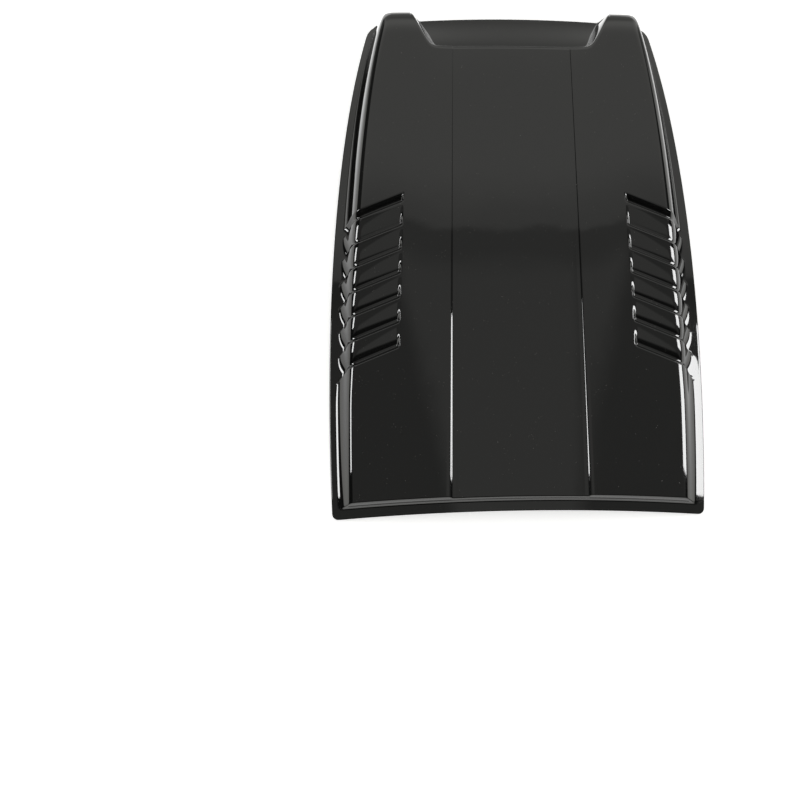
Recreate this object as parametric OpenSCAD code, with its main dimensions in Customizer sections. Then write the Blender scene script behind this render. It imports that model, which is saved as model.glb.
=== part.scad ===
// Bonnet scoop: one thin moulding with a bonding rim all round, a mouth at the front between two
// horns, two creases along the top and seven louvres down each side.
// It stands on the corners of its rim. +Y is the mouth, +X the right side, +Z is up.

/* [Outline in plan] */
// Length over the rim, from the rear corners to the middle of the front edge
body_length = 1021; // [973:4:1061]
// Width over the rim at the rear corners
rear_width = 700; // [680:2:716]
// Width over the rim at its widest
widest_width = 721; // [715:1:740]
// Distance from the rear corners to the widest place
widest_at = 334; // [298:4:370]
// Width that the side lines would reach at the front edge
front_width = 584; // [566:2:600]
// Share of the narrowing that comes late, near the front corners
late_taper = 0.22; // [0:0.02:0.36]
// How far the middle of the rear edge is set forward of its corners
rear_hollow = 13; // [0:0.5:20]
// How far the front corners are set back from the middle of the front edge
front_bow = 3; // [0:0.5:8]
// Corner radius of the rim at the front
front_corner = 28; // [22:1:34]
// Corner radius of the rim at the rear
rear_corner = 12; // [6:1:16]

/* [Bonnet that it fits] */
// Rise of the bonnet across its width
bonnet_crown = 20; // [10:1:28]
// Rise of the bonnet along the length of the rim
bonnet_arch = 12; // [4:1:18]

/* [Rim and walls] */
// Thickness of the moulding
skin = 3; // [2.5:0.1:3.5]
// Width of the rim along the sides
side_rim = 15.5; // [13:0.5:18]
// Width of the rim at the front corners
corner_rim = 11; // [9:0.5:13]
// Width of the rim along the rear edge
rear_rim = 16; // [12:0.5:20]
// Height of the wall above the rim at the rear
rear_wall = 8.5; // [7:0.5:10]
// Height of the side wall above the rim at the front
front_wall = 63; // [50:1:70]
// Width that the side wall takes in plan at the rear
rear_wall_run = 20; // [17:0.5:23]
// Width that the side wall takes in plan beside the louvres
side_wall_run = 29; // [26:0.5:31]
// Width that the wall takes in plan along the rear edge
end_wall_run = 16; // [12:0.5:18]
// Width over which the shoulder rolls into the top
shoulder_roll = 12; // [9:0.5:15]
// Height that the roll adds above the shoulder
roll_rise = 3; // [2:0.5:4]

/* [Top] */
// Distance between the two creases at the rear edge
rear_crease_spacing = 260; // [248:2:268]
// Distance between the two creases at the lip
front_crease_spacing = 240; // [230:2:248]
// Step down from the outer panels to the middle panel at the rear
crease_step = 3.5; // [2:0.5:5]
// Step that is left at the lip
crease_lip_step = 0.3; // [0:0.1:1]
// Width of the step at the rear
crease_rear_run = 7; // [5:0.5:8]
// Width of the step at the lip
crease_lip_run = 2.5; // [2.5:0.5:4]
// How much less the top is crowned than the bonnet at the front, which leaves the horns standing
middle_dip = 18; // [12:1:22]
// Length of the rounded nose of the horns
nose_length = 75; // [60:1:85]

/* [Mouth] */
// Distance from the front edge back to the lip
mouth_depth = 89; // [80:0.5:98]
// Width between the points where the lip turns into the sides
mouth_width = 334; // [324:1:344]
// Width across the mouth where its sides reach the horns' noses
mouth_front_width = 406; // [400:1:410]
// Drop of the short wall under the lip
lip_drop = 16; // [12:1:22]
// Width in plan of the wall under the lip
lip_run = 6; // [5:0.5:8]
// Width in plan of the mouth's side walls at the front
cheek_run = 20; // [16:0.5:22]

/* [Louvres] */
// Number of louvres on each side
louvre_count = 7; // [5:1:7]
// Distance between louvres, along the length
louvre_pitch = 47.6; // [44:0.2:48.4]
// Distance from the rear corners to the bottom of the rearmost groove
louvre_start = 325; // [319:1:333]
// Depth of the grooves
louvre_depth = 8.5; // [5:0.5:10]
// Length of the steep step behind each groove, which is the front of a louvre
louvre_step = 8; // [7:0.5:9]
// Length of the level land along the top of each step
louvre_land = 4.5; // [3:0.5:6]
// Length of the slope that leads into the front groove
louvre_lead = 8; // [6:0.5:12]
// How far the grooves cut into the foot of the side wall
louvre_cut = 8; // [4:0.5:9]
// How far a groove falls back for each unit that it goes outwards
louvre_slant = 0.41; // [0.31:0.02:0.49]
// How far the louvres' fronts turn back as they cross the side wall
louvre_turn = 27; // [14:1:28]
// How much less the bottoms of the grooves turn back
louvre_spread = 5.5; // [4.5:0.5:5.5]
// Where the grooves end, as a share of the way from the crease to the shoulder
louvre_inner = 0.532; // [0.524:0.002:0.548]

/* [Hidden] */
gloss_black = [0.03, 0.03, 0.035];

half_rear = rear_width / 2;
half_widest = widest_width / 2;
half_front = front_width / 2;
nose_start = body_length - nose_length;
lip_y = body_length - mouth_depth;
grooves_end = louvre_start + louvre_pitch * (louvre_count - 1);
outer_panel = 172;
edge_round = 2.5;
edge_drop = 1;

// A value held between 0 and 1
function unit(v) = min(1, max(0, v));

// Smooth step from 0 to 1
function ease(v) = let (u = unit(v)) u * u * (3 - 2 * u);

function lerp(a, b, u) = a + (b - a) * u;

// Rise from 0 to 1 with a round foot of share a, a straight flank and a round head of share b
function ramp(v, a, b) =
    let (u = unit(v), steep = 1 / (1 - a / 2 - b / 2))
    u < a ? steep * u * u / (2 * a)
        : u > 1 - b ? 1 - steep * (1 - u) * (1 - u) / (2 * b)
            : steep * (u - a / 2);

// Half width of the rim's outline at y
function half_width(y) =
    y < widest_at
        ? half_widest - (half_widest - half_rear) * pow((widest_at - y) / widest_at, 2)
        : let (u = (y - widest_at) / (body_length - widest_at))
            half_widest - (half_widest - half_front)
                * ((1 - late_taper) * pow(u, 2) + late_taper * pow(u, 5));

// Outer surface of the bonnet, which the rim's underside follows
function bonnet(x, y) =
    let (t = unit(y / body_length))
    bonnet_crown * (1 - pow(x / half_width(y), 2)) + bonnet_arch * 4 * t * (1 - t);

function rear_edge(x) = rear_hollow * (1 - pow(x / half_rear, 2));
function front_edge(x) = body_length - front_bow * pow(x / half_front, 2);

// Width of the rim and of the side wall in plan, and the line inside them where the top begins
function rim_width(y) = lerp(side_rim, corner_rim, ease((y / body_length - 0.58) / 0.42));
function wall_run(y) =
    lerp(rear_wall_run, side_wall_run, 1 - pow(1 - unit(y / body_length / 0.55), 2));
function roll_line(y) = half_width(y) - rim_width(y) - wall_run(y) - shoulder_roll;

// Round foot and head of the walls, as shares of their width
function foot(y) = lerp(0.4, 0.18, unit(1.4 * y / body_length));
head = 0.14;

function crease_x(y) = lerp(rear_crease_spacing, front_crease_spacing, unit(y / lip_y)) / 2;
function crease_run(y) = lerp(crease_lip_run, crease_rear_run, pow(1 - unit(y / lip_y), 2));

// Height of the side wall: a wedge that grows a little faster towards the front
function wall_height(y) =
    let (t = unit(y / body_length))
    lerp(rear_wall, front_wall, t * (0.8 + 0.2 * t));

// Nose of the horns: a squarish quarter round that ends on the front edge
function nose(x, y) =
    let (u = unit((y - nose_start) / (front_edge(x) - nose_start)))
    pow(1 - pow(u, 4), 0.25);

// Step at the crease, which fades fast at first and then slowly
function crease_fall(y) = lerp(crease_lip_step, crease_step, pow(1 - unit(y / lip_y), 2.4));

// Height of the top above the rim's own surface. f is 0 at the crease and 1 at the roll's end.
function panel_height(f, y) =
    wall_height(y) + roll_rise - middle_dip * unit(y / body_length) * (1 - ease(f));

// Edge of the mouth in plan: straight along the lip, then turning forwards along the cheeks
cheek_slope = 2.07;
lip_bend = 5;
function mouth_edge(x) =
    lip_y + cheek_slope * lip_bend * ln(1 + exp((abs(x) - mouth_width / 2) / lip_bend));
function mouth_edge_slope(x) =
    cheek_slope / (1 + exp(-(abs(x) - mouth_width / 2) / lip_bend));

// Where the top ends: on the mouth's edge, or on the steep part of a horn's nose
mouth_half = mouth_front_width / 2;
nose_turn = mouth_edge(mouth_half);
function top_end(x) = x <= mouth_half ? mouth_edge(x) : nose_turn;

// Column of the outer panel that runs into the corner between a mouth's side and its nose
cheek_inner = crease_x(nose_turn) + crease_run(nose_turn) / 2;
cheek_share = (mouth_half - cheek_inner) / (roll_line(nose_turn) - cheek_inner);

// Columns of one half, from the middle outwards, each as [zone, share within the zone].
// Zone 0 is the middle panel, 1 the outer panel, 2 the side wall and 3 the rim.
mouth_shares = [0.12, 0.24, 0.34, 0.44];
louvre_shares = [louvre_inner + 0.02, louvre_inner + 0.045, cheek_share,
    0.6 * cheek_share + 0.4, 0.25 * cheek_share + 0.75, 1];
wall_shares = [0, 0.12, 0.3, 0.55, 0.78, 1];
half_columns = concat(
    [[0, 0], [0, 0.45], [0, 0.85], [0, 1], [1, 0]],
    [for (f = mouth_shares) [1, f]],
    [[1, louvre_inner]],
    [for (f = louvre_shares) [1, f]],
    [for (q = wall_shares) [2, q]],
    [[3, 0.5], [3, 1 - edge_round / side_rim], [3, 1]]);
half_count = len(half_columns);
columns = concat(
    [for (i = [half_count - 1 : -1 : 1]) [-1, half_columns[i]]],
    [for (c = half_columns) [1, c]]);

// Share of the way across the outer panel, for a column of any zone
function panel_share(c) = c[0] == 0 ? 0 : c[0] == 1 ? c[1] : 1;

// How far the rows fall back at a column, so that they run along the louvres: straight over
// the panel and the roll, then turning ever more down the side wall
function fall_back(c, groove = 0) =
    let (turn = louvre_turn - louvre_spread * groove)
    louvre_slant * (outer_panel * max(0, panel_share(c) - louvre_inner)
        + (c[0] >= 2 ? shoulder_roll : 0))
        + (c[0] == 2 ? turn * pow(c[1], 1.5) : c[0] == 3 ? turn : 0);

// Distance of a column from the side outline
function side_inset(c, y) =
    c[0] == 3 ? rim_width(y) * (1 - c[1]) : rim_width(y) + wall_run(y) * (1 - c[1]);

// x of a column at y, on the right half
function column_x(c, y) =
    c[0] == 0 ? (crease_x(y) - crease_run(y) / 2) * c[1]
        : c[0] == 1 ? lerp(crease_x(y) + crease_run(y) / 2, roll_line(y), c[1])
            : half_width(y) - side_inset(c, y);

// Share of the wall's height that a column has
function side_level(c, y) = c[0] == 2 ? ramp(1 - c[1], foot(y), head) : c[0] == 3 ? 0 : 1;

// Rows of one groove, as [distance in front of its bottom, share of the depth, lean of the skin].
// Behind the bottom rises the front of a louvre. In front the top climbs, less and less steeply,
// to the land of the next louvre, or it rises up the lead where the louvres begin.
climb = louvre_pitch - louvre_step - louvre_land;
front_rows = [[-louvre_step, 0, 18], [-louvre_step / 2, 0.5, 25]];
next_rows = [[0, 1, 8], [0.4 * climb, 0.4, 4], [climb, 0, 8]];
lead_rows = [[0, 1, 2], [0.5 * louvre_lead, 0.5, -14], [louvre_lead, 0, -14]];

// Rows from the rear edge to the front edge, each as [zone, place, groove's share of depth, lean].
// Zone 0 lies on the rear rim and wall, 1 behind, 2 along and 3 in front of the louvres,
// and zone 4 goes down the mouth and the noses.
first_row = louvre_start - louvre_step;
last_row = grooves_end + louvre_lead;
rows = concat(
    [for (b = [0, edge_round, rear_rim * 0.55, rear_rim]) [0, b, 0]],
    [for (q = [0.25, 0.5, 0.8, 1]) [0, rear_rim + end_wall_run * q, 0]],
    [for (t = [0, 0.25, 0.5, 0.75]) [1, t, 0]],
    [for (k = [0 : louvre_count - 1])
        let (bottom = louvre_start + louvre_pitch * k)
        for (g = concat(front_rows, k < louvre_count - 1 ? next_rows : lead_rows))
            [2, bottom + g[0], g[1], g[2]]],
    [for (t = [0.12, 0.3, 0.48, 0.64, 0.78, 0.89, 0.96, 1]) [3, t, 0]],
    [for (k = [1 : 6]) [4, k, 0]]);

rear_roll = 10;
rear_top = rear_rim + end_wall_run + rear_roll;

// Share of a groove's depth at a column: none up to its inner end, all of it beyond
function groove_width(c) =
    c[0] == 0 ? 0 : c[0] == 1 ? ease((c[1] - louvre_inner) / 0.045) : 1;

// Moves a point near a corner of the rim onto the corner's round.
// a and b are its distances from the two edges, and the result is the same two distances.
function round_corner(a, b, r) =
    a >= r || b >= r ? [a, b]
        : let (da = r - a, db = r - b, k = max(da, db) / norm([da, db]))
            [r - da * k, r - db * k];
function round_front(x, y) =
    let (ab = round_corner(half_width(y) - x, front_edge(x) - y, front_corner))
    [half_width(y) - ab[0], front_edge(x) - ab[1]];

// x at which a column meets the end of the top, closed in on step by step
function end_x(c, x = 0, steps = 16) =
    steps == 0 ? min(x, mouth_half) : end_x(c, column_x(c, top_end(x)), steps - 1);
function in_mouth(c) = c[0] == 0 || (c[0] == 1 && c[1] <= cheek_share);
function end_y(c) = in_mouth(c) ? mouth_edge(end_x(c)) : nose_turn;

// y of a row in zones 1 to 3
function top_y(c, row) =
    let (back = fall_back(c, row[2]))
    row[0] == 1 ? lerp(rear_edge(column_x(c, rear_top)) + rear_top, first_row - back, row[1])
        : row[0] == 2 ? row[1] - back
            : lerp(last_row - back, end_y(c), row[1]);

// Height above the rim's own surface, before the noses and grooves
function full_height(c, y) =
    c[0] == 0 ? panel_height(0, y) - crease_fall(y)
        : c[0] == 1 ? panel_height(c[1], y) : wall_height(y) * side_level(c, y);

// Share of the inward cut that a column takes: it grows down the side wall and fades over the rim
function cut_share(c, y) =
    c[0] == 2 ? 1 - side_level(c, y) : c[0] == 3 ? pow(1 - c[1], 2) : 0;

// Point of the top at column c, for the share of a groove's depth
function top_point(c, y, groove) =
    let (flat = round_front(column_x(c, y), y),
        p = [flat[0] - louvre_cut * groove * cut_share(c, y), flat[1]],
        fall = louvre_depth * groove_width(c) * groove * side_level(c, y))
    [p[0], p[1], bonnet(p[0], p[1]) + skin + nose(p[0], p[1]) * (full_height(c, y) - fall)];

// Rear rim and wall: a point's height is held down by whichever wall is nearer.
// The middle panel's wall is lower, so it also takes less room in plan.
function rear_point(c, place) =
    let (low = c[0] == 0 ? crease_step / rear_wall : 0,
        b = place <= rear_rim ? place : lerp(rear_rim, place, 1 - low / 2),
        ab = round_corner(c[0] == 3 ? side_inset(c, b) : rear_corner, b, rear_corner),
        x = c[0] == 3 ? half_width(b) - ab[0] : column_x(c, b),
        y = rear_edge(x) + ab[1],
        level = ramp((place - rear_rim) / end_wall_run, 0.4, head),
        full = wall_height(y) - (c[0] == 0 ? crease_fall(y) : 0))
    [x, y, bonnet(x, y) + skin + full * min(level, side_level(c, y))
        - (ab[1] < edge_round / 2 ? edge_drop : 0)];

// Floor of the mouth: it climbs from the front edge to the foot of the wall under the lip
lip_z = bonnet(0, lip_y) + skin + panel_height(0, lip_y);
function floor_z(x, y) =
    let (rim_z = bonnet(x, front_edge(x)) + skin,
        u = unit((front_edge(x) - y) / (front_edge(x) - lip_y)))
    lerp(rim_z, lip_z - lip_drop, (u + ease(u)) / 2);

// Mouth: from its edge down the wall, then along the floor to the front edge
cheek_levels = [0, 0.12, 0.5, 1];
function mouth_point(c, k) =
    let (x0 = end_x(c),
        y0 = mouth_edge(x0),
        z0 = top_point(c, y0, 0)[2],
        slope = mouth_edge_slope(x0),
        across = [-slope, 1] / norm([slope, 1]),
        run = lerp(lip_run, cheek_run, ease((x0 - 0.6 * mouth_half) / (0.4 * mouth_half))),
        foot_at = [x0, y0] + across * run,
        front = front_edge(foot_at[0]),
        p = k <= 3 ? [x0, y0] + across * run * cheek_levels[k]
            : [foot_at[0], lerp(foot_at[1], front, (k - 3) / 3)],
        level = k <= 3 ? 1 - ramp(cheek_levels[k], 0.15, 0.3) : 0)
    [p[0], p[1], lerp(floor_z(p[0], p[1]), z0, level) - (k == 6 ? edge_drop : 0)];

// Nose of a horn, its side wall and the rim: forwards and down to the front edge
nose_shares = [0, 0.4, 0.66, 0.82, 0.92, 0.98, 1];
function nose_point(c, k) =
    let (x_flat = column_x(c, nose_turn),
        share = lerp(nose_shares[k], k / 6, c[0] == 3 ? 1 : c[0] == 2 ? c[1] : 0),
        y_flat = lerp(nose_turn, front_edge(x_flat), share),
        p = round_front(column_x(c, y_flat), y_flat),
        lift = k == 6 ? 0 : nose(p[0], y_flat),
        on_edge = k == 6 || (c[0] == 3 && c[1] == 1))
    [p[0], p[1], bonnet(p[0], p[1]) + skin + full_height(c, y_flat) * lift
        - (on_edge ? edge_drop : 0)];

// Any point of the outer surface
function outer_point(col, row) =
    let (c = col[1],
        p = row[0] == 0 ? rear_point(c, row[1])
            : row[0] < 4 ? top_point(c, top_y(c, row), row[2])
                : in_mouth(c) ? mouth_point(c, row[1]) : nose_point(c, row[1]),
        edge = row[0] > 0 && row[0] < 4 && c[0] == 3 && c[1] == 1 ? edge_drop : 0)
    [col[0] * p[0], p[1], p[2] - edge];

raw_outer = [for (row = rows, col = columns) outer_point(col, row)];
n_columns = len(columns);
n_rows = len(rows);

// Way from the outer skin to the inner one. It leans with the walls, so that they keep
// their thickness, and it is plumb on the rim.
wall_lean = 42;
end_lean = 20;
lip_leans = [30, 40, 50, 30, 0, 0, 0];
nose_leans = [20, 38, 50, 58, 63, 65, 56];
function side_lean(c) = c[0] == 2 ? wall_lean * min(1, 4 * c[1] * (1.25 - c[1])) : 0;
function rear_lean(row) =
    row[0] == 0 ? end_lean * ease((row[1] - rear_rim) / end_wall_run) : 0;
function front_lean(c, row) =
    row[0] == 2 ? row[3] * groove_width(c) * (c[0] == 3 ? 0 : 1)
        : row[0] == 3 && row[1] == 1 && c[0] < 3 ? nose_leans[0]
            : row[0] == 4 && c[0] < 3 ? nose_leans[row[1]]
                : 0;
function inner_way(col, row) =
    let (c = col[1],
        k = row[0] == 4 ? row[1] : row[0] == 3 && row[1] == 1 ? 0 : -1,
        cheek = k >= 0 && in_mouth(c),
        slope = mouth_edge_slope(end_x(c)),
        across = cheek ? [-slope, 1] / norm([slope, 1]) : [0, 1],
        ahead = cheek ? lip_leans[k] : front_lean(c, row) - rear_lean(row),
        aside = cheek ? 0 : side_lean(c))
    [col[0] * (tan(aside) + tan(ahead) * across[0]), tan(ahead) * across[1], 1];

// Under the border of the grid the inner skin lies on the bonnet
raw_inner = [for (j = [0 : n_rows - 1], i = [0 : n_columns - 1])
    let (p = raw_outer[j * n_columns + i],
        w = inner_way(columns[i], rows[j]),
        at_edge = i == 0 || i == n_columns - 1 || j == 0 || j == n_rows - 1)
    p - (at_edge ? w * (skin - edge_drop) : w / norm(w) * skin)];

// The origin is the middle of the bounding box, at its bottom
all_raw = concat(raw_outer, raw_inner);
lowest = min([for (p = all_raw) p[2]]);
middle = (min([for (p = all_raw) p[1]]) + max([for (p = all_raw) p[1]])) / 2;
shell_points = [for (p = all_raw) p - [0, middle, lowest]];

// Two triangles for a cell of the grid. The diagonal runs from corner to corner of the shell.
function cell(i, j, base, out) =
    let (a = base + j * n_columns + i,
        b = a + 1,
        c = b + n_columns,
        d = a + n_columns,
        rising = (i < n_columns / 2) == (j < n_rows / 2),
        pair = rising ? [[a, c, b], [a, d, c]] : [[a, d, b], [b, d, c]])
    [for (t = pair) out ? t : [t[2], t[1], t[0]]];

// Border of the grid, as point numbers in order round it
border = concat(
    [for (i = [0 : n_columns - 2]) i],
    [for (j = [0 : n_rows - 2]) j * n_columns + n_columns - 1],
    [for (i = [n_columns - 1 : -1 : 1]) (n_rows - 1) * n_columns + i],
    [for (j = [n_rows - 1 : -1 : 1]) j * n_columns]);
inner_base = n_columns * n_rows;

shell_faces = concat(
    [for (j = [0 : n_rows - 2], i = [0 : n_columns - 2]) each cell(i, j, 0, true)],
    [for (j = [0 : n_rows - 2], i = [0 : n_columns - 2]) each cell(i, j, inner_base, false)],
    [for (k = [0 : len(border) - 1])
        let (a = border[k], b = border[(k + 1) % len(border)])
        each [[a, b, b + inner_base], [a, b + inner_base, a + inner_base]]]);

// The whole moulding, as a closed skin over the grid of rows and columns
module scoop_shell() {
    color(gloss_black)
        polyhedron(points = shell_points, faces = shell_faces, convexity = 6);
}

scoop_shell();
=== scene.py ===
"""Gloss-black bonnet scoop on a pale floor. Lengths in the shape functions are millimetres."""
import math

import bpy
import numpy as np
from mathutils import Matrix, Vector


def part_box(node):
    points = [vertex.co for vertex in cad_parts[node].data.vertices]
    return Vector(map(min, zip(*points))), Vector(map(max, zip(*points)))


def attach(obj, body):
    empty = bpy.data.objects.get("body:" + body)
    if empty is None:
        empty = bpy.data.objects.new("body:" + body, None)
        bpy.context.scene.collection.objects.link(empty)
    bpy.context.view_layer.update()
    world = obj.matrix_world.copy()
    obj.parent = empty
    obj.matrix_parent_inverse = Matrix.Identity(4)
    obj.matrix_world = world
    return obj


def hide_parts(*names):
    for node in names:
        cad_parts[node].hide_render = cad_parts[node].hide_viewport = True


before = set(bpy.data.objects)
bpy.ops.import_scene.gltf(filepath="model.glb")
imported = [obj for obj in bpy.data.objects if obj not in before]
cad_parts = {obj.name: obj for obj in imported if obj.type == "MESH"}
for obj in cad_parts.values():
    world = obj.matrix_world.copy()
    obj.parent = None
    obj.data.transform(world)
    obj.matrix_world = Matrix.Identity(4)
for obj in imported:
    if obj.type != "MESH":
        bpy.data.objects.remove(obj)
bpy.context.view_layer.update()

# Outline in plan, measured forwards from the rear corners of the rim
LENGTH = 1021.0
HALF_REAR = 350.0
HALF_WIDEST = 360.5
HALF_FRONT = 292.0
WIDEST_AT = 334.0
LATE_TAPER = 0.22
REAR_HOLLOW = 13.0
FRONT_BOW = 3.0
FRONT_CORNER = 28.0
REAR_CORNER = 12.0

# Bonnet that the rim lies on
BONNET_CROWN = 20.0
BONNET_ARCH = 12.0

# Thickness of the moulding, and the least that is left at its border
SKIN = 3.0
EDGE_SKIN = 1.5

# Rim. It narrows ahead of a share of the length, and its outer edge is rounded
SIDE_RIM = 15.5
CORNER_RIM = 11.0
REAR_RIM = 16.0
RIM_NARROWS_FROM = 0.58
EDGE_ROUND = 2.5
EDGE_DROP = 1.0

# Side wall. It grows forwards with a small bow, and its width grows up to a share of the length.
# Its head, and its foot at the rear and at the front, are shares of its width
REAR_WALL = 8.5
FRONT_WALL = 63.0
WALL_BOW = 0.2
REAR_WALL_RUN = 20.0
SIDE_WALL_RUN = 29.0
RUN_GROWS_TO = 0.55
WALL_HEAD = 0.3
WALL_FOOT_REAR = 0.6
WALL_FOOT_FRONT = 0.18
WALL_FOOT_LENGTH = 660.0
SHOULDER_ROLL = 12.0
ROLL_RISE = 3.0

# Behind the louvres the rim curls up towards the wall's foot, and the shoulder rolls over less far
CURL = 1.2
REAR_RISE = 1.5
CURL_FROM = 210.0
CURL_TO = 330.0

# Rear wall. Its flank goes straight from its toe to a little over the shoulder at its reach, and is
# blended there. Toe and reach are shares of its width
END_WALL_RUN = 16.0
REAR_ROLL = 16.0
REAR_TOE = 0.4
REAR_REACH = 0.78
REAR_OVER = 1.0
REAR_BLEND = 2.4

# Creases, where the outer panels step down to the middle one: place, step and width at the rear and
# at the lip. Foot and head are shares of a crease's width
CREASE_REAR = 130.0
CREASE_FRONT = 120.0
CREASE_STEP = 3.5
CREASE_LIP_STEP = 1.36
CREASE_FADE = 2.2
CREASE_RUN = 8.5
CREASE_LIP_RUN = 4.0
CREASE_FOOT = 0.3
CREASE_HEAD = 0.6

# How much less the top is crowned than the bonnet at the front, which leaves the horns standing
MIDDLE_DIP = 18.0

# Mouth between the horns. Its wall widens from the lip to the cheeks, beyond a share of the mouth's
# half width. The roundings of its edge and floor are shares of the wall
NOSE_LENGTH = 75.0
MOUTH_DEPTH = 89.0
MOUTH_TURN = 167.0
MOUTH_HALF = 203.0
LIP_DROP = 16.0
LIP_RUN = 6.0
CHEEK_RUN = 20.0
CHEEK_FROM = 0.6
CHEEK_SLOPE = 2.07
LIP_BEND = 5.0
LIP_ROUND = 0.15
FLOOR_ROUND = 0.3
CORNER_SHARE = 0.035

# Louvres of one side. A groove has a steep step behind its bottom, and ahead of it a slowing climb up
# to the land of the next step; the front groove has a short lead instead. The grooves fall back with
# the slant over the top, and turn back down the wall, where their bottoms turn less by the spread.
# Their inner ends, and the length of these, are shares of the outer panel
LOUVRES = 7
LOUVRE_PITCH = 47.6
FIRST_GROOVE = 325.0
GROOVE_DEPTH = 8.5
LOUVRE_STEP = 8.0
LOUVRE_LAND = 4.5
LOUVRE_LEAD = 12.0
CLIMB_POWER = 1.8
LOUVRE_CUT = 8.0
LOUVRE_SLANT = 0.41
LOUVRE_TURN = 27.0
LOUVRE_TURN_POWER = 1.5
LOUVRE_SPREAD = 5.5
GROOVE_INNER = 0.532
GROOVE_END = 0.045
OUTER_PANEL = 172.0

NOSE_START = LENGTH - NOSE_LENGTH
LIP_Y = LENGTH - MOUTH_DEPTH
LAST_GROOVE = FIRST_GROOVE + LOUVRE_PITCH * (LOUVRES - 1)
REAR_TOP = REAR_RIM + END_WALL_RUN + REAR_ROLL
# Where the part's origin lies: middle of the length, and the height of the rim's corners
MIDDLE_Y = 511.063
LOWEST_Z = 0.769

# Zones of the columns, from the middle outwards, and of the rows, from the rear forwards
MIDDLE, CREASE, PANEL, SHOULDER, WALL, RIM = range(6)
REAR, BEHIND, ALONG, AHEAD, FRONT = range(5)
WALL_ROWS = 14
# Margin of the rows round a groove, and of the columns round its inner end as shares of the panel
ROW_MARGIN = 2.0
END_BEFORE = 0.012
END_AFTER = 0.06
# Lean of the inner skin's offset upwards, and the angle from which an edge stays sharp
INNER_LEAN = 0.5
SHARP_ANGLE = math.radians(60)

# The photograph's camera: turns about x, y and z, place, focal length and principal point in pixels
CAMERA_TURN = (-0.2059, 0.0438, 0.0063)
CAMERA_AT = (-140.505, 48.517, 1585.970)
FOCAL = 823.105
CENTRE_PX = (480.0, 320.0)
PICTURE_PX = 800.0
SENSOR = 36.0

# Lacquer: heights in metres, scales in waves per metre, and roughness
RIPPLE = 5e-4
RIPPLE_SCALE = 8.0
SHORT_RIPPLE_SHARE = 0.1
SHORT_RIPPLE_SCALE = 26.0
PEEL = 5e-6
PEEL_SCALE = 320.0
BLACK = (0.0035, 0.0037, 0.0038, 1)
WORN_BLACK = (0.0055, 0.0056, 0.0055, 1)
TONE_SCALE = 3.0
DUST_COLOUR = (0.16, 0.155, 0.145, 1)
DUST_SCALE = 210.0
DUST_PATCH_SCALE = 60.0
SMEAR_SCALE = 5.0
SMEAR_STRETCH = (1.0, 0.35, 1.0)
POLISHED = 0.03
SMEARED = 0.05
DUSTY = 0.4

# The room that the lacquer mirrors, by direction: x right, y forward, z up. Each band is a smooth step,
# given by where it starts and ends and by its levels there
ROOM_COLOUR = (1.0, 1.0, 0.96, 1)
ROOM_MIDDLE_X = 0.08
CEILING_MIDDLE = (0.13, 0.18, 0.60, 0.34)
CEILING_DIP = (0.17, 0.215, 1.0, 0.78)
CEILING_REAR = (-0.54, -0.46, 0.08, 1.0)
CEILING_SIDES = (0.60, 0.66, 1.0, 0.10)
CEILING_TO_FRONT = (0.238, 0.248, 0.0, 1.0)
FRONT_RISE = (0.24, 0.34, 0.74, 1.0)
FRONT_GLOW = (0.45, 0.65, 0.0, 0.5)
FRONT_FADE = (0.70, 0.88, 1.0, 0.5)
LOW_BAND = (0.38, 0.33, 0.0, 2.2)
LOW_BESIDE = (0.42, 0.58, 1.0, 0.15)
LOW_REAR = (-0.85, -0.72, 1.0, 0.0)
LOW_FRONT = (0.70, 0.90, 1.0, 0.0)

# Floor, and the two strip lights: centre, aim point and size in metres
FLOOR_HALF = 9
FLOOR_GREY = (0.85, 0.85, 0.85, 1)
FLOOR_SEEN = 0.6
FLOOR_MIRRORED = 1.5
STRIP_RADIANCE = 20
STRIPS = {
    "strip_left": ((-1.47, -0.23, 1.22), (-0.31, -0.23, 0.02), (0.83, 0.30)),
    "strip_right": ((1.50, -0.26, 1.20), (0.31, -0.26, 0.02), (0.78, 0.76)),
}


def unit(v):
    """v held between 0 and 1."""
    return np.clip(v, 0.0, 1.0)


def ease(v):
    """Smooth step from 0 to 1: three squares less two cubes."""
    u = unit(v)
    return u * u * (3 - 2 * u)


def lerp(a, b, u):
    """The value a share u of the way from a to b."""
    return a + (b - a) * u


def ramp(v, foot, head):
    """Rise from 0 to 1: a parabola over the foot, a straight flank and a parabola over the head."""
    u = unit(v)
    steep = 1 / (1 - foot / 2 - head / 2)
    low = steep * u * u / (2 * foot)
    high = 1 - steep * (1 - u) ** 2 / (2 * head)
    return np.where(u < foot, low, np.where(u > 1 - head, high, steep * (u - foot / 2)))


def blend_low(a, b, width):
    """The lower of two heights, rounded where they come within width of each other."""
    h = np.clip(width - np.abs(a - b), 0, None) / width
    return np.minimum(a, b) - h * h * width / 4


def half_width(y):
    """Half width of the outline: a parabola behind the widest place, and a square with a share of a
    fifth power ahead of it."""
    u = np.clip((y - WIDEST_AT) / (LENGTH - WIDEST_AT), 0, None)
    back = np.clip((WIDEST_AT - y) / WIDEST_AT, 0, None)
    behind = HALF_WIDEST - (HALF_WIDEST - HALF_REAR) * back**2
    taper = (1 - LATE_TAPER) * u**2 + LATE_TAPER * u**5
    return np.where(y < WIDEST_AT, behind, HALF_WIDEST - (HALF_WIDEST - HALF_FRONT) * taper)


def bonnet(x, y):
    """Height of the bonnet under the rim: one parabola across and one along."""
    t = unit(y / LENGTH)
    return BONNET_CROWN * (1 - (x / half_width(y)) ** 2) + BONNET_ARCH * 4 * t * (1 - t)


def rear_edge(x):
    """The rear edge in plan, a parabola set forward in the middle."""
    return REAR_HOLLOW * (1 - (x / HALF_REAR) ** 2)


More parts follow.
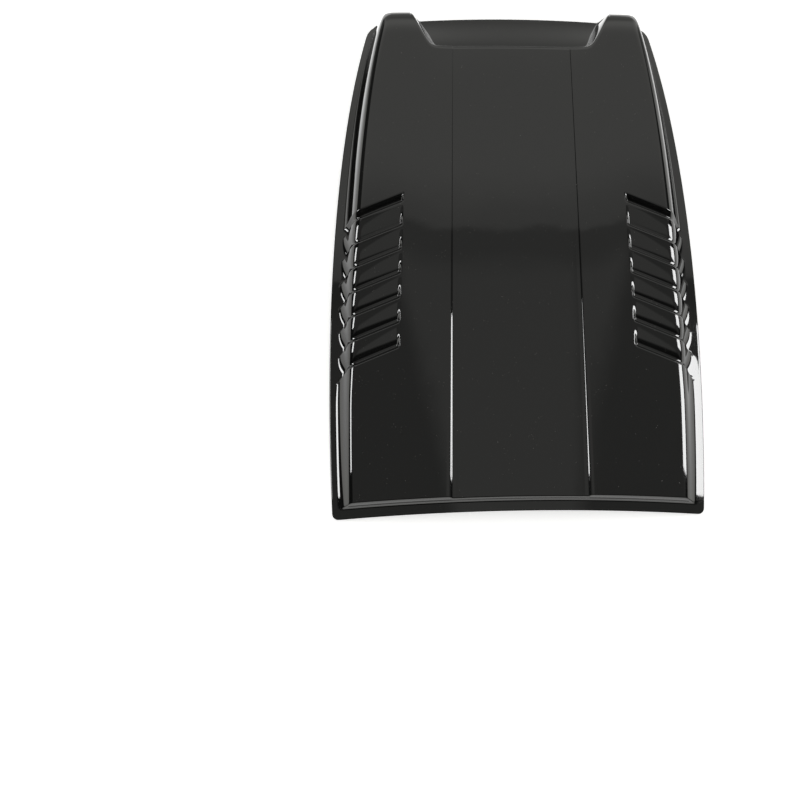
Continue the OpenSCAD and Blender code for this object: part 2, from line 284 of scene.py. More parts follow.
def front_edge(x):
    """The front edge in plan, a parabola set back at its ends."""
    return LENGTH - FRONT_BOW * (x / HALF_FRONT) ** 2


def rim_width(y):
    """Width of the side rim, which narrows as a smooth step towards the front corners."""
    return lerp(SIDE_RIM, CORNER_RIM, ease((y / LENGTH - RIM_NARROWS_FROM) / (1 - RIM_NARROWS_FROM)))


def wall_run(y):
    """Width of the side wall in plan, growing as a parabola and then constant."""
    return lerp(REAR_WALL_RUN, SIDE_WALL_RUN, 1 - (1 - unit(y / LENGTH / RUN_GROWS_TO)) ** 2)


def shoulder_x(y):
    """Line of the shoulder: the outline less the rim and the wall."""
    return half_width(y) - rim_width(y) - wall_run(y)


def roll_x(y):
    """Line where the outer panel meets the shoulder's roll."""
    return shoulder_x(y) - SHOULDER_ROLL


def crease_x(y):
    """Middle line of a crease, straight from the rear edge to the lip."""
    return lerp(CREASE_REAR, CREASE_FRONT, unit(y / LIP_Y))


def crease_run(y):
    """Width of a crease in plan, a parabola that is flat at the lip."""
    return lerp(CREASE_LIP_RUN, CREASE_RUN, (1 - unit(y / LIP_Y)) ** 2)


def crease_fall(y):
    """Step down from the outer panel to the middle one, which fades fast at first and then slowly."""
    return lerp(CREASE_LIP_STEP, CREASE_STEP, (1 - unit(y / LIP_Y)) ** CREASE_FADE)


def wall_height(y):
    """Height of the side wall: a wedge that grows a little faster towards the front."""
    t = unit(y / LENGTH)
    return lerp(REAR_WALL, FRONT_WALL, t * (1 - WALL_BOW + WALL_BOW * t))


def nose(x, y):
    """Share of the height left on a horn's nose: a quarter of a squarish round, to the fourth power."""
    u = unit((y - NOSE_START) / (front_edge(x) - NOSE_START))
    return (1 - u**4) ** 0.25


def panel_height(f, y):
    """Height of the top over the rim's surface, f being 0 at the crease and 1 at the shoulder's roll:
    half of the dip goes evenly and half as a smooth step."""
    return wall_height(y) + ROLL_RISE - MIDDLE_DIP * unit(y / LENGTH) * (1 - (f + ease(f)) / 2)


def mouth_edge(x):
    """Edge of the mouth in plan: straight along the lip, then a soft bend into a straight cheek."""
    v = (np.abs(x) - MOUTH_TURN) / LIP_BEND
    return LIP_Y + CHEEK_SLOPE * LIP_BEND * np.logaddexp(0, v)


def mouth_slope(x):
    """Slope of the mouth's edge in plan, the derivative of mouth_edge."""
    return CHEEK_SLOPE / (1 + np.exp(-(np.abs(x) - MOUTH_TURN) / LIP_BEND))


# Where the mouth's edge meets the turn of the noses, as a place and as a share of the outer panel
NOSE_TURN = float(mouth_edge(MOUTH_HALF))
CHEEK_IN = float(crease_x(NOSE_TURN) + crease_run(NOSE_TURN) / 2)
CHEEK_SHARE = (MOUTH_HALF - CHEEK_IN) / (float(roll_x(NOSE_TURN)) - CHEEK_IN)


def steps(a, b, n):
    """n even steps from a to b, without a."""
    return np.linspace(a, b, n + 1)[1:]


def joined(parts):
    """Zones and places of the parts of a plan, one after another."""
    zone = np.concatenate([np.full(len(s), z) for z, s in parts])
    return zone, np.concatenate([np.asarray(s, float) for _, s in parts])


def column_plan():
    """Zone and share of each column of the right half, from the middle outwards, closest together at
    the groove's end, at the horn's inner corner and on the rim's rounded edge."""
    turn = np.linspace(0, np.pi / 2, 6)
    parts = [
        (MIDDLE, [0.0]), (MIDDLE, steps(0, 0.9, 10)), (MIDDLE, steps(0.9, 1, 2)),
        (CREASE, steps(0, 1, 8)),
        (PANEL, steps(0, 0.2, 7)), (PANEL, steps(0.2, GROOVE_INNER - END_BEFORE, 18)),
        (PANEL, steps(GROOVE_INNER - END_BEFORE, GROOVE_INNER + END_AFTER, 14)),
        (PANEL, steps(GROOVE_INNER + END_AFTER, CHEEK_SHARE, 5)),
        (PANEL, steps(CHEEK_SHARE, CHEEK_SHARE + CORNER_SHARE, 10)),
        (PANEL, steps(CHEEK_SHARE + CORNER_SHARE, 1, 14)),
        (SHOULDER, steps(0, 1, 9)),
        (WALL, steps(0, 0.2, 6)), (WALL, steps(0.2, 0.75, 8)), (WALL, steps(0.75, 1, 8)),
        (RIM, steps(0, 0.75, 4)), (RIM, 1 - EDGE_ROUND / SIDE_RIM * (1 - np.sin(turn))),
    ]
    return joined(parts)


def row_plan():
    """Zone and place of each row, from the rear edge to the front edge, closest together on the
    louvres' steps and lands."""
    turn = np.linspace(0, np.pi / 2, 6)
    parts = [
        (REAR, EDGE_ROUND * (1 - np.cos(turn))), (REAR, steps(EDGE_ROUND, REAR_RIM, 4)),
        (REAR, steps(REAR_RIM, REAR_TOP, 26)), (BEHIND, steps(0, 1, 18)),
    ]
    for k in range(LOUVRES):
        bottom = FIRST_GROOVE + LOUVRE_PITCH * k
        next_step = bottom + LOUVRE_PITCH - LOUVRE_STEP - ROW_MARGIN
        parts.append((ALONG, steps(bottom - LOUVRE_STEP - ROW_MARGIN, bottom, 12)))
        if k < LOUVRES - 1:
            parts.append((ALONG, steps(bottom, next_step - LOUVRE_LAND, 8)))
            parts.append((ALONG, steps(next_step - LOUVRE_LAND, next_step, 5)))
    parts.append((ALONG, steps(LAST_GROOVE, LAST_GROOVE + LOUVRE_LEAD + ROW_MARGIN, 11)))
    parts += [(AHEAD, steps(0, 0.8, 20)), (AHEAD, steps(0.8, 1, 10))]
    parts.append((FRONT, steps(0, 2, 2 * WALL_ROWS)))
    return joined(parts)


def fall_back(zone, f, groove_share=0.0):
    """How far the rows fall back at a column: straight over the louvres and the roll, then turning
    ever more down the wall, by less where the groove is deep."""
    inner = np.where(zone < PANEL, 0, np.where(zone == PANEL, f, 1))
    roll = np.where(zone == SHOULDER, f, zone > SHOULDER)
    wall = np.where(zone == WALL, f, zone > WALL)
    outwards = OUTER_PANEL * np.clip(inner - GROOVE_INNER, 0, None) + SHOULDER_ROLL * roll
    straight = LOUVRE_SLANT * outwards
    return straight + (LOUVRE_TURN - LOUVRE_SPREAD * groove_share) * wall**LOUVRE_TURN_POWER


def by_zone(zone, middle, crease, panel, shoulder, wall, rim):
    """The value that belongs to each column's zone."""
    tests = [zone == MIDDLE, zone == CREASE, zone == PANEL, zone == SHOULDER, zone == WALL]
    return np.select(tests, [middle, crease, panel, shoulder, wall], rim)


def column_x(zone, f, y):
    """x of a column: each zone runs straight across between its two lines."""
    cx, run = crease_x(y), crease_run(y)
    return by_zone(
        zone, (cx - run / 2) * f, cx + run * (f - 0.5),
        lerp(cx + run / 2, roll_x(y), f), lerp(roll_x(y), shoulder_x(y), f),
        shoulder_x(y) + wall_run(y) * f, half_width(y) - rim_width(y) * (1 - f),
    )


def near_rear(y):
    """1 behind the louvres, falling as a smooth step to 0 along them."""
    return 1 - ease((y - CURL_FROM) / (CURL_TO - CURL_FROM))


def roll_power(y):
    """Power of the shoulder's roll: a parabola, and a cube behind the louvres."""
    return 2 + near_rear(y)


def roll_rise(y):
    """Height that the roll adds above the shoulder."""
    return lerp(ROLL_RISE, REAR_RISE, near_rear(y))


def shoulder_height(y):
    """Height of the shoulder, which leaves the top of the roll where the panel has it."""
    return wall_height(y) + ROLL_RISE - roll_rise(y)


def wall_profile(q, y):
    """Height of the side wall, q being 0 at the shoulder and 1 at the foot.
    Its slope grows evenly over the head, holds along the flank and falls evenly over the foot to the
    slope of the rim there."""
    h, w, curl = shoulder_height(y), wall_run(y), CURL * near_rear(y)
    foot = lerp(WALL_FOOT_REAR, WALL_FOOT_FRONT, ease((y - CURL_FROM) / WALL_FOOT_LENGTH))
    start, end = roll_power(y) * roll_rise(y) / SHOULDER_ROLL, 3 * curl / rim_width(y)
    flank = ((h - curl) / w - start * WALL_HEAD / 2 - end * foot / 2) / (1 - WALL_HEAD / 2 - foot / 2)
    q = unit(q)
    a = np.minimum(q, WALL_HEAD)
    b = np.clip(q, WALL_HEAD, 1 - foot) - WALL_HEAD
    c = np.clip(q - (1 - foot), 0, None)
    drop = start * a + (flank - start) * a * a / (2 * WALL_HEAD)
    drop += flank * b + flank * c - (flank - end) * c * c / (2 * foot)
    return h - w * drop


def full_height(zone, f, y):
    """Height over the rim's surface before the noses and grooves, zone by zone. The rim's curl falls
    as a cube."""
    low = panel_height(0, y) - crease_fall(y)
    return by_zone(
        zone, low, low + crease_fall(y) * ramp(f, CREASE_FOOT, CREASE_HEAD), panel_height(f, y),
        shoulder_height(y) + roll_rise(y) * (1 - f ** roll_power(y)),
        wall_profile(f, y), CURL * near_rear(y) * (1 - f) ** 3,
    )


def round_corner(a, b, r):
    """Moves a point, given by its distances a and b from two edges, onto rings round the centre of
    their rounded corner."""
    da, db = r - a, r - b
    k = np.maximum(da, db) / np.maximum(np.hypot(da, db), 1e-9)
    near = (a < r) & (b < r)
    return np.where(near, r - da * k, a), np.where(near, r - db * k, b)


def in_mouth(zone, f):
    """True for the columns that run into the mouth, false for those that run over a nose."""
    return (zone < PANEL) | ((zone == PANEL) & (f <= CHEEK_SHARE + 1e-9))


def end_of_top(zone, f):
    """Where each column meets the mouth's edge or the turn of the nose, closed in on step by step."""
    x = np.zeros_like(f)
    for _ in range(40):
        x = lerp(x, column_x(zone, f, mouth_edge(np.minimum(x, MOUTH_HALF))), 0.5)
    x = np.minimum(x, MOUTH_HALF)
    y = np.where(in_mouth(zone, f), mouth_edge(x), NOSE_TURN)
    return np.where(in_mouth(zone, f), x, column_x(zone, f, y)), y


def groove(d, climb):
    """Share of a groove's depth at d ahead of its bottom: a smooth step behind, and ahead a slowing
    climb, or a straight one over the short lead."""
    power = np.where(climb > LOUVRE_LEAD, CLIMB_POWER, 1)
    return np.where(d < 0, 1 - ease(-d / LOUVRE_STEP), (1 - np.clip(d, 0, climb) / climb) ** power)


def top_point(zone, f, y, depth_share):
    """Point of the top: the bonnet, the skin, and the height less the groove, scaled by the nose."""
    x = column_x(zone, f, y)
    a, b = round_corner(half_width(y) - x, front_edge(x) - y, FRONT_CORNER)
    across = by_zone(zone, 0, 0, ease((f - GROOVE_INNER) / GROOVE_END), 1, 1, 0)
    foot = CURL * near_rear(y)
    wall = unit((wall_profile(f, y) - foot) / (shoulder_height(y) - foot))
    level = by_zone(zone, 1, 1, 1, 1, wall, 0)
    cut = by_zone(zone, 0, 0, 0, 0, 1 - level, (1 - f) ** 2)
    px, py = half_width(y) - a - LOUVRE_CUT * depth_share * cut, front_edge(x) - b
    height = full_height(zone, f, y) - GROOVE_DEPTH * across * depth_share * level
    return px, py, bonnet(px, py) + SKIN + nose(px, py) * height


# Height of the lip's middle
LIP_Z = float(bonnet(0, LIP_Y) + SKIN + panel_height(0, LIP_Y))


def floor_z(x, y):
    """Floor of the mouth: it climbs from the front edge, half evenly and half as a smooth step."""
    u = unit((front_edge(x) - y) / (front_edge(x) - LIP_Y))
    return lerp(bonnet(x, front_edge(x)) + SKIN, LIP_Z - LIP_DROP, (u + ease(u)) / 2)


def mouth_point(zone, f, k):
    """From the mouth's edge down its wall (k 0 to 1), then along the floor to the front edge (1 to 2).
    The wall stands square to the edge in plan and widens as a smooth step towards the cheek's end."""
    x0 = np.minimum(end_of_top(zone, f)[0], MOUTH_HALF)
    y0 = mouth_edge(x0)
    z0 = top_point(zone, f, y0, 0)[2]
    slope = mouth_slope(x0)
    ax, ay = -slope / np.hypot(slope, 1), 1 / np.hypot(slope, 1)
    widening = ease((x0 - CHEEK_FROM * MOUTH_HALF) / ((1 - CHEEK_FROM) * MOUTH_HALF))
    run = lerp(LIP_RUN, CHEEK_RUN, widening)
    q = unit(k)
    fx, fy = x0 + ax * run, y0 + ay * run
    x = np.where(k <= 1, x0 + ax * run * q, fx)
    y = np.where(k <= 1, y0 + ay * run * q, lerp(fy, front_edge(fx), k - 1))
    level = np.where(k <= 1, 1 - ramp(q, LIP_ROUND, FLOOR_ROUND), 0)
    return x, y, lerp(floor_z(x, y), z0, level)


def nose_point(zone, f, k):
    """Over the nose (k 0 to 2): even steps of angle round the squarish round, and even steps of length
    on the rim."""
    start = (NOSE_TURN - NOSE_START) / (LENGTH - NOSE_START)
    angle = lerp(math.asin(start**2), math.pi / 2, k / 2)
    share = (np.sqrt(np.sin(angle)) - start) / (1 - start)
    share = lerp(share, k / 2, by_zone(zone, 0, 0, 0, 0, unit(f), 1))
    y = lerp(NOSE_TURN, front_edge(column_x(zone, f, NOSE_TURN + 0 * f)), share)
    x = column_x(zone, f, y)
    a, b = round_corner(half_width(y) - x, front_edge(x) - y, FRONT_CORNER)
    px, py = half_width(y) - a, front_edge(x) - b
    return px, py, bonnet(px, py) + SKIN + full_height(zone, f, y) * nose(px, y)


def horn_corner(zone, f, k):
    """Corner between a cheek and its nose: the mouth's last column and the nose, mixed by a smooth
    step."""
    last = np.full_like(f, CHEEK_SHARE)
    panel = np.full_like(zone, PANEL)
    down = np.array(mouth_point(panel, last, k)) - np.array(mouth_point(panel, last, 0 * k))
    over = np.array(nose_point(zone, f, k))
    start = np.array(nose_point(zone, f, 0 * k))
    return lerp(start + down, over, ease((f - CHEEK_SHARE) / CORNER_SHARE))


def rear_points(zone, f, b):
    """Rear rim and wall at b ahead of the rear edge: the side's height, held down by a flank that
    rises from the rear rim, over its toe as a parabola and then straight."""
    ra, rb = round_corner(np.where(zone == RIM, rim_width(b) * (1 - f), REAR_CORNER), b, REAR_CORNER)
    x = np.where(zone == RIM, half_width(b) - ra, column_x(zone, f, b))
    y = rear_edge(x) + rb
    side = full_height(zone, f, y)
    d, toe = b - REAR_RIM, REAR_TOE * END_WALL_RUN
    steep = (REAR_WALL + ROLL_RISE + REAR_OVER) / (REAR_REACH * END_WALL_RUN - toe / 2)
    flank = np.where(d < 0, 0, np.where(d < toe, steep * d * d / (2 * toe), steep * (d - toe / 2)))
    held = np.where((flank <= 0) | (side <= 0), 0, blend_low(side, flank, REAR_BLEND))
    return np.array([x, y, bonnet(x, y) + SKIN + np.maximum(held, 0)])


def top_points(zone, f, row, place):
    """Top behind, along and ahead of the louvres: the rows along them fall back with the grooves, and
    the others are spread between the louvres and the ends of the top."""
    back, end_y = fall_back(zone, f), end_of_top(zone, f)[1]
    number = np.clip((place - FIRST_GROOVE + LOUVRE_STEP + ROW_MARGIN) // LOUVRE_PITCH, 0, LOUVRES - 1)
    climb = np.where(number < LOUVRES - 1, LOUVRE_PITCH - LOUVRE_STEP - LOUVRE_LAND, LOUVRE_LEAD)
    depth_share = np.where(row == ALONG, groove(place - FIRST_GROOVE - LOUVRE_PITCH * number, climb), 0)
    begin = rear_edge(column_x(zone, f, REAR_TOP + 0 * f)) + REAR_TOP
    first = FIRST_GROOVE - LOUVRE_STEP - ROW_MARGIN - back
    last = LAST_GROOVE + LOUVRE_LEAD + ROW_MARGIN - back
    along = place - fall_back(zone, f, depth_share)
    y = np.select(
        [row == BEHIND, row == ALONG, row == AHEAD],
        [lerp(begin, first, place), along, lerp(last, end_y, place)], LENGTH / 2,
    )
    return np.array(top_point(zone, f, y, depth_share))


def front_points(zone, f, k):
    """Mouth, noses and the corners between them."""
    corner = (zone == PANEL) & (f > CHEEK_SHARE) & (f < CHEEK_SHARE + CORNER_SHARE)
    horn = np.where(corner, horn_corner(zone, f, k), np.array(nose_point(zone, f, k)))
    return np.where(in_mouth(zone, f), np.array(mouth_point(zone, f, k)), horn)


def outer_grid():
    """Points of the outer skin's right half, as an array of rows by columns by three. The rim's outer
    edge is a quarter of an ellipse."""
    cz, cf = column_plan()
    rz, rs = row_plan()
    zone, f = cz[None, :] + 0 * rz[:, None], cf[None, :] + 0.0 * rs[:, None]
    row, place = rz[:, None] + 0 * zone, rs[:, None] + 0.0 * f

    rear = rear_points(zone, f, np.where(row == REAR, place, REAR_TOP))
    top = top_points(zone, f, row, place)
    front = front_points(zone, f, np.where(row == FRONT, place, 0))
    points = np.where(row == REAR, rear, np.where(row == FRONT, front, top))

    side_edge = np.where(zone == RIM, unit(1 - rim_width(points[1]) * (1 - f) / EDGE_ROUND), 0)
    back_edge = np.where(row == REAR, unit(1 - place / EDGE_ROUND), 0)
    e = np.maximum(side_edge, back_edge)
    points[2] -= EDGE_DROP * (1 - np.sqrt(1 - e * e))
    return np.moveaxis(points, 0, 2)


def both_halves(half):
    """The right half and its mirror image, joined along the middle column."""
    mirrored = half[:, :0:-1] * [-1, 1, 1]
    return np.concatenate([mirrored, half], 1)


def grid_normals(p):
    """Unit normals of a grid of points, from the cross product of its two directions."""
    n = np.cross(np.gradient(p, axis=1), np.gradient(p, axis=0))
    return n / np.maximum(np.linalg.norm(n, axis=2, keepdims=True), 1e-12)


def smooth_grid(v, times):
    """Each value, counted twice, averaged with its four neighbours, as many times as asked."""
    for _ in range(times):
        w = np.pad(v, ((1, 1), (1, 1), (0, 0)), mode="edge")
        v = (w[1:-1, 1:-1] * 2 + w[:-2, 1:-1] + w[2:, 1:-1] + w[1:-1, :-2] + w[1:-1, 2:]) / 6
    return v


def inner_grid(outer):
    """The skin's inner side: every second point, moved in by the skin's thickness along the smoothed
    normal with a lean upwards. Along the border it lies on the bonnet."""
    p = outer[::2, ::2]
    way = smooth_grid(grid_normals(p), 3) + [0, 0, INNER_LEAN]
    way /= np.linalg.norm(way, axis=2, keepdims=True)
    inner = p - way * SKIN
    edge = np.zeros(p.shape[:2], bool)
    edge[[0, -1], :] = edge[:, [0, -1]] = True
    low = p.copy()
    low[-1, :, 1] -= SKIN
    low[..., 2] = bonnet(np.abs(low[..., 0]), low[..., 1])
    low[..., 2] = np.minimum(low[..., 2], p[..., 2] - EDGE_SKIN)
    return np.where(edge[..., None], low, inner)


def shell_mesh(name, outer, inner):
    """One closed mesh of two grids: quads on each skin, and five-sided faces round the border, each
    joining two outer steps to one inner step."""
    a = np.arange(outer[..., 0].size).reshape(outer.shape[:2])
    b = np.arange(inner[..., 0].size).reshape(inner.shape[:2]) + a.size
    quads_out = np.stack([a[:-1, :-1], a[:-1, 1:], a[1:, 1:], a[1:, :-1]], 2).reshape(-1, 4)
    quads_in = np.stack([b[:-1, :-1], b[1:, :-1], b[1:, 1:], b[:-1, 1:]], 2).reshape(-1, 4)
    ring_out = np.concatenate([a[0, :-1], a[:-1, -1], a[-1, :0:-1], a[:0:-1, 0]])
    ring_in = np.concatenate([b[0, :-1], b[:-1, -1], b[-1, :0:-1], b[:0:-1, 0]])
    o, i = ring_out.reshape(-1, 2), ring_in
    border = np.stack([o[:, 1], o[:, 0], i, np.roll(i, -1), np.roll(o[:, 0], -1)], 1)
    points = np.concatenate([outer.reshape(-1, 3), inner.reshape(-1, 3)])
    points = (points - [0, MIDDLE_Y, LOWEST_Z]) / 1000
    low, high = (np.array(c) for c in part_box("scoop_shell"))
    points = np.clip(points, low, high)
    mesh = bpy.data.meshes.new(name)
    mesh.from_pydata(points.tolist(), [], quads_out.tolist() + quads_in.tolist() + border.tolist())
    mesh.polygons.foreach_set("use_smooth", np.ones(len(mesh.polygons), bool))
    mesh.set_sharp_from_angle(angle=SHARP_ANGLE)
    mesh.update()
    piece = bpy.data.objects.new(name, mesh)
    bpy.context.scene.collection.objects.link(piece)
    return piece


def step_node(t, value, start, stop, low, high):
    """A smooth step of a value between two levels."""
    n = t.nodes.new("ShaderNodeMapRange")
    n.interpolation_type = "SMOOTHSTEP"
    n.inputs["From Min"].default_value = start
    n.inputs["From Max"].default_value = stop
    n.inputs["To Min"].default_value = low
    n.inputs["To Max"].default_value = high
    t.links.new(value, n.inputs["Value"])
    return n.outputs["Result"]


def maths(t, operation, a, b):
    """A math node on two sockets or numbers."""
    n = t.nodes.new("ShaderNodeMath")
    n.operation = operation
    for value, socket in ((a, n.inputs[0]), (b, n.inputs[1])):
        if isinstance(value, (int, float)):
            socket.default_value = value
        else:
            t.links.new(value, socket)
    return n.outputs[0]


def noise(t, where, scale, detail, rough=0.5, stretch=None):
    """A noise texture's value; stretch scales its coordinates."""
    n = t.nodes.new("ShaderNodeTexNoise")
    n.inputs["Scale"].default_value = scale
    n.inputs["Detail"].default_value = detail
    n.inputs["Roughness"].default_value = rough
    if stretch:
        m = t.nodes.new("ShaderNodeMapping")
        m.inputs["Scale"].default_value = stretch
        t.links.new(where, m.inputs["Vector"])
        where = m.outputs["Vector"]
    t.links.new(where, n.inputs["Vector"])
    return n.outputs["Fac"]


def mix_colours(t, share, first, second):
    """A colour the given share of the way from the first, a colour or a socket, to the second."""
    n = t.nodes.new("ShaderNodeMix")
    n.data_type = "RGBA"
    t.links.new(share, n.inputs[0])
    if isinstance(first, tuple):
        n.inputs[6].default_value = first
    else:
        t.links.new(first, n.inputs[6])
    n.inputs[7].default_value = second
    return n.outputs[2]


def new_group(name, inputs, outputs):
    """An empty shader node group with named inputs and outputs."""
    group = bpy.data.node_groups.new(name, "ShaderNodeTree")
    for label, kind, value in inputs:
        socket = group.interface.new_socket(label, in_out="INPUT", socket_type=kind)
        if value is not None:
            socket.default_value = value
    for label, kind in outputs:
        group.interface.new_socket(label, in_out="OUTPUT", socket_type=kind)
    return group, group.nodes.new("NodeGroupInput"), group.nodes.new("NodeGroupOutput")


def place_group(t, group):
    """A node that puts a group into a material's tree."""
    n = t.nodes.new("ShaderNodeGroup")
    n.node_tree = group
    return n


def moulding_group():
    """Height of a moulded and polished skin in metres: a long ripple, a shorter one and orange peel."""
    g, i, o = new_group(
        "moulded_skin",
        [("Position", "NodeSocketVector", None), ("Ripple", "NodeSocketFloat", RIPPLE),
         ("Peel", "NodeSocketFloat", PEEL)],
        [("Height", "NodeSocketFloat")],
    )
    where, ripple = i.outputs["Position"], i.outputs["Ripple"]
    long = maths(g, "MULTIPLY", noise(g, where, RIPPLE_SCALE, 1.0), ripple)
    short = maths(g, "MULTIPLY", noise(g, where, SHORT_RIPPLE_SCALE, 1.0), SHORT_RIPPLE_SHARE)
    short = maths(g, "MULTIPLY", short, ripple)
    peel = maths(g, "MULTIPLY", noise(g, where, PEEL_SCALE, 2.0), i.outputs["Peel"])
    g.links.new(maths(g, "ADD", maths(g, "ADD", long, short), peel), o.inputs["Height"])
    return g


def dust_group():
    """Two masks on a polished skin: smears from wiping, and fine dust that lies on faces that look
    up."""
    g, i, o = new_group(
        "dust_and_smears",
        [("Position", "NodeSocketVector", None), ("Normal", "NodeSocketVector", None)],
        [("Smears", "NodeSocketFloat"), ("Dust", "NodeSocketFloat")],
    )
    where = i.outputs["Position"]
    smear = noise(g, where, SMEAR_SCALE, 4.0, 0.6, SMEAR_STRETCH)
    g.links.new(step_node(g, smear, 0.48, 0.75, 0.0, 1.0), o.inputs["Smears"])
    cells = g.nodes.new("ShaderNodeTexVoronoi")
    cells.inputs["Scale"].default_value = DUST_SCALE
    g.links.new(where, cells.inputs["Vector"])
    speck = step_node(g, cells.outputs["Distance"], 0.05, 0.13, 1.0, 0.0)
    patch = step_node(g, noise(g, where, DUST_PATCH_SCALE, 2.0), 0.56, 0.66, 0.0, 1.0)
    split = g.nodes.new("ShaderNodeSeparateXYZ")
    g.links.new(i.outputs["Normal"], split.inputs[0])
    level = step_node(g, split.outputs["Z"], 0.5, 0.95, 0.0, 1.0)
    g.links.new(maths(g, "MULTIPLY", maths(g, "MULTIPLY", speck, patch), level), o.inputs["Dust"])
    return g


def gloss_black():
    """Black plastic, polished and lacquered: faint ripple and orange peel in the normal, a little haze
    in wiping smears, and sparse fine dust on the faces that look up."""
    m = bpy.data.materials.new("gloss_black")
    m.use_nodes = True
    t = m.node_tree
    s = t.nodes["Principled BSDF"]
    s.inputs["IOR"].default_value = 1.5
    where = t.nodes.new("ShaderNodeTexCoord")
    skin = place_group(t, moulding_group())
    t.links.new(where.outputs["Object"], skin.inputs["Position"])
    dirt = place_group(t, dust_group())
    t.links.new(where.outputs["Object"], dirt.inputs["Position"])
    t.links.new(where.outputs["Normal"], dirt.inputs["Normal"])

    bump = t.nodes.new("ShaderNodeBump")
    bump.inputs["Distance"].default_value = 1.0
    t.links.new(skin.outputs["Height"], bump.inputs["Height"])
    t.links.new(bump.outputs["Normal"], s.inputs["Normal"])

    tone = mix_colours(t, noise(t, where.outputs["Object"], TONE_SCALE, 3.0), BLACK, WORN_BLACK)
    colour = mix_colours(t, dirt.outputs["Dust"], tone, DUST_COLOUR)
    t.links.new(colour, s.inputs["Base Color"])

    haze = maths(t, "ADD", maths(t, "MULTIPLY", dirt.outputs["Smears"], SMEARED), POLISHED)
    rough = maths(t, "ADD", haze, maths(t, "MULTIPLY", dirt.outputs["Dust"], DUSTY))
    t.links.new(rough, s.inputs["Roughness"])
    return m


def make_camera():
    """The photograph's camera, from points that mirror each other across the middle of the scoop."""
    data = bpy.data.cameras.new("camera")
    cam = bpy.data.objects.new("camera", data)
    bpy.context.scene.collection.objects.link(cam)
    data.sensor_width = SENSOR
    data.lens = FOCAL * SENSOR / PICTURE_PX
    data.shift_x = -(CENTRE_PX[0] - PICTURE_PX / 2) / PICTURE_PX
    data.shift_y = (CENTRE_PX[1] - PICTURE_PX / 2) / PICTURE_PX
    data.clip_end = 50.0
    rx, ry, rz = CAMERA_TURN
    turn = Matrix.Rotation(rz, 3, "Z") @ Matrix.Rotation(ry, 3, "Y") @ Matrix.Rotation(rx, 3, "X")
    place = Matrix(turn.transposed()).to_4x4()
    x, y, z = CAMERA_AT
    place.translation = (x / 1000, (y - MIDDLE_Y) / 1000, (z - LOWEST_Z) / 1000)
    cam.matrix_world = place
    bpy.context.scene.camera = cam


def pale_floor():
    """A white floor, brighter in the lacquer than to the camera."""
    h = FLOOR_HALF
    mesh = bpy.data.meshes.new("floor")
    mesh.from_pydata([(-h, -h, 0), (h, -h, 0), (h, h, 0), (-h, h, 0)], [], [(0, 1, 2, 3)])
    floor = bpy.data.objects.new("floor", mesh)
    bpy.context.scene.collection.objects.link(floor)
    m = bpy.data.materials.new("floor_white")
    m.use_nodes = True
    t = m.node_tree
    s = t.nodes["Principled BSDF"]
    s.inputs["Base Color"].default_value = FLOOR_GREY
    s.inputs["Roughness"].default_value = 0.9
    s.inputs["Emission Color"].default_value = (1, 1, 1, 1)
    ray = t.nodes.new("ShaderNodeLightPath")
    seen = maths(t, "MULTIPLY", ray.outputs["Is Camera Ray"], FLOOR_SEEN)
    mirrored = maths(t, "MULTIPLY", ray.outputs["Is Glossy Ray"], FLOOR_MIRRORED)
    t.links.new(maths(t, "ADD", seen, mirrored), s.inputs["Emission Strength"])
    floor.data.materials.append(m)


def ceiling_level(t, side, forward):
    """Brightness overhead: a ceiling that is dim away from its middle and dark at the rear, a brighter
    front, and dark sides."""
    ceiling = step_node(t, side, *CEILING_MIDDLE)
    ceiling = maths(t, "MULTIPLY", ceiling, step_node(t, forward, *CEILING_DIP))
    ceiling = maths(t, "MULTIPLY", ceiling, step_node(t, forward, *CEILING_REAR))
    front = maths(t, "ADD", step_node(t, forward, *FRONT_RISE), step_node(t, forward, *FRONT_GLOW))
    front = maths(t, "MULTIPLY", front, step_node(t, forward, *FRONT_FADE))
    mix = t.nodes.new("ShaderNodeMix")
    t.links.new(step_node(t, forward, *CEILING_TO_FRONT), mix.inputs[0])
    t.links.new(ceiling, mix.inputs[2])
    t.links.new(front, mix.inputs[3])
    return maths(t, "MULTIPLY", mix.outputs[0], step_node(t, side, *CEILING_SIDES))


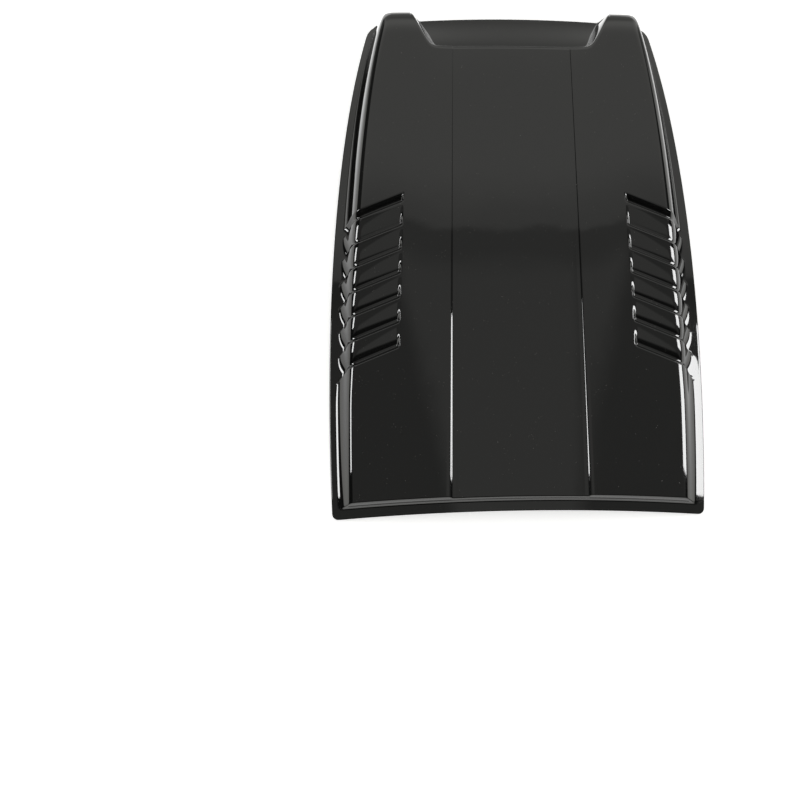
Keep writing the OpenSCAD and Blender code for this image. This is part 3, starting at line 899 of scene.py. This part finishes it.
def low_level(t, forward, up):
    """Brightness near the horizon: a bright band beside the scoop and right behind it, none ahead."""
    beside = step_node(t, maths(t, "ABSOLUTE", forward, 0.0), *LOW_BESIDE)
    around = maths(t, "MAXIMUM", beside, step_node(t, forward, *LOW_REAR))
    band = maths(t, "MULTIPLY", step_node(t, up, *LOW_BAND), around)
    return maths(t, "MULTIPLY", band, step_node(t, forward, *LOW_FRONT))


def pale_room():
    """The world: white to the camera, and a room of bright and dark bands in the lacquer."""
    w = bpy.data.worlds.new("world")
    bpy.context.scene.world = w
    w.use_nodes = True
    t = w.node_tree
    back = t.nodes["Background"]
    back.inputs["Color"].default_value = ROOM_COLOUR
    where = t.nodes.new("ShaderNodeTexCoord")
    split = t.nodes.new("ShaderNodeSeparateXYZ")
    t.links.new(where.outputs["Generated"], split.inputs[0])
    side = maths(t, "ABSOLUTE", maths(t, "SUBTRACT", split.outputs["X"], ROOM_MIDDLE_X), 0.0)
    forward = split.outputs["Y"]
    level = maths(t, "ADD", ceiling_level(t, side, forward), low_level(t, forward, split.outputs["Z"]))
    ray = t.nodes.new("ShaderNodeLightPath")
    t.links.new(maths(t, "ADD", level, ray.outputs["Is Camera Ray"]), back.inputs["Strength"])


def strip_light(name, centre, aim, size):
    """A rectangular area light at a centre, facing the aim point, with an even radiance. It is seen in
    the lacquer only."""
    data = bpy.data.lights.new(name, "AREA")
    data.shape = "RECTANGLE"
    data.size, data.size_y = size
    data.energy = STRIP_RADIANCE * math.pi * size[0] * size[1]
    lamp = bpy.data.objects.new(name, data)
    bpy.context.scene.collection.objects.link(lamp)
    way = Vector(aim) - Vector(centre)
    lamp.matrix_world = Matrix.Translation(centre) @ way.to_track_quat("-Z", "Y").to_matrix().to_4x4()
    lamp.visible_camera = False
    lamp.visible_diffuse = False


make_camera()
outer = both_halves(outer_grid())
scoop = shell_mesh("scoop", outer, inner_grid(outer))
scoop.data.materials.append(gloss_black())
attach(scoop, "root")
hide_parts("scoop_shell")
pale_floor()
pale_room()
for name, place in STRIPS.items():
    strip_light(name, *place)
bpy.context.scene.view_settings.view_transform = "Standard"
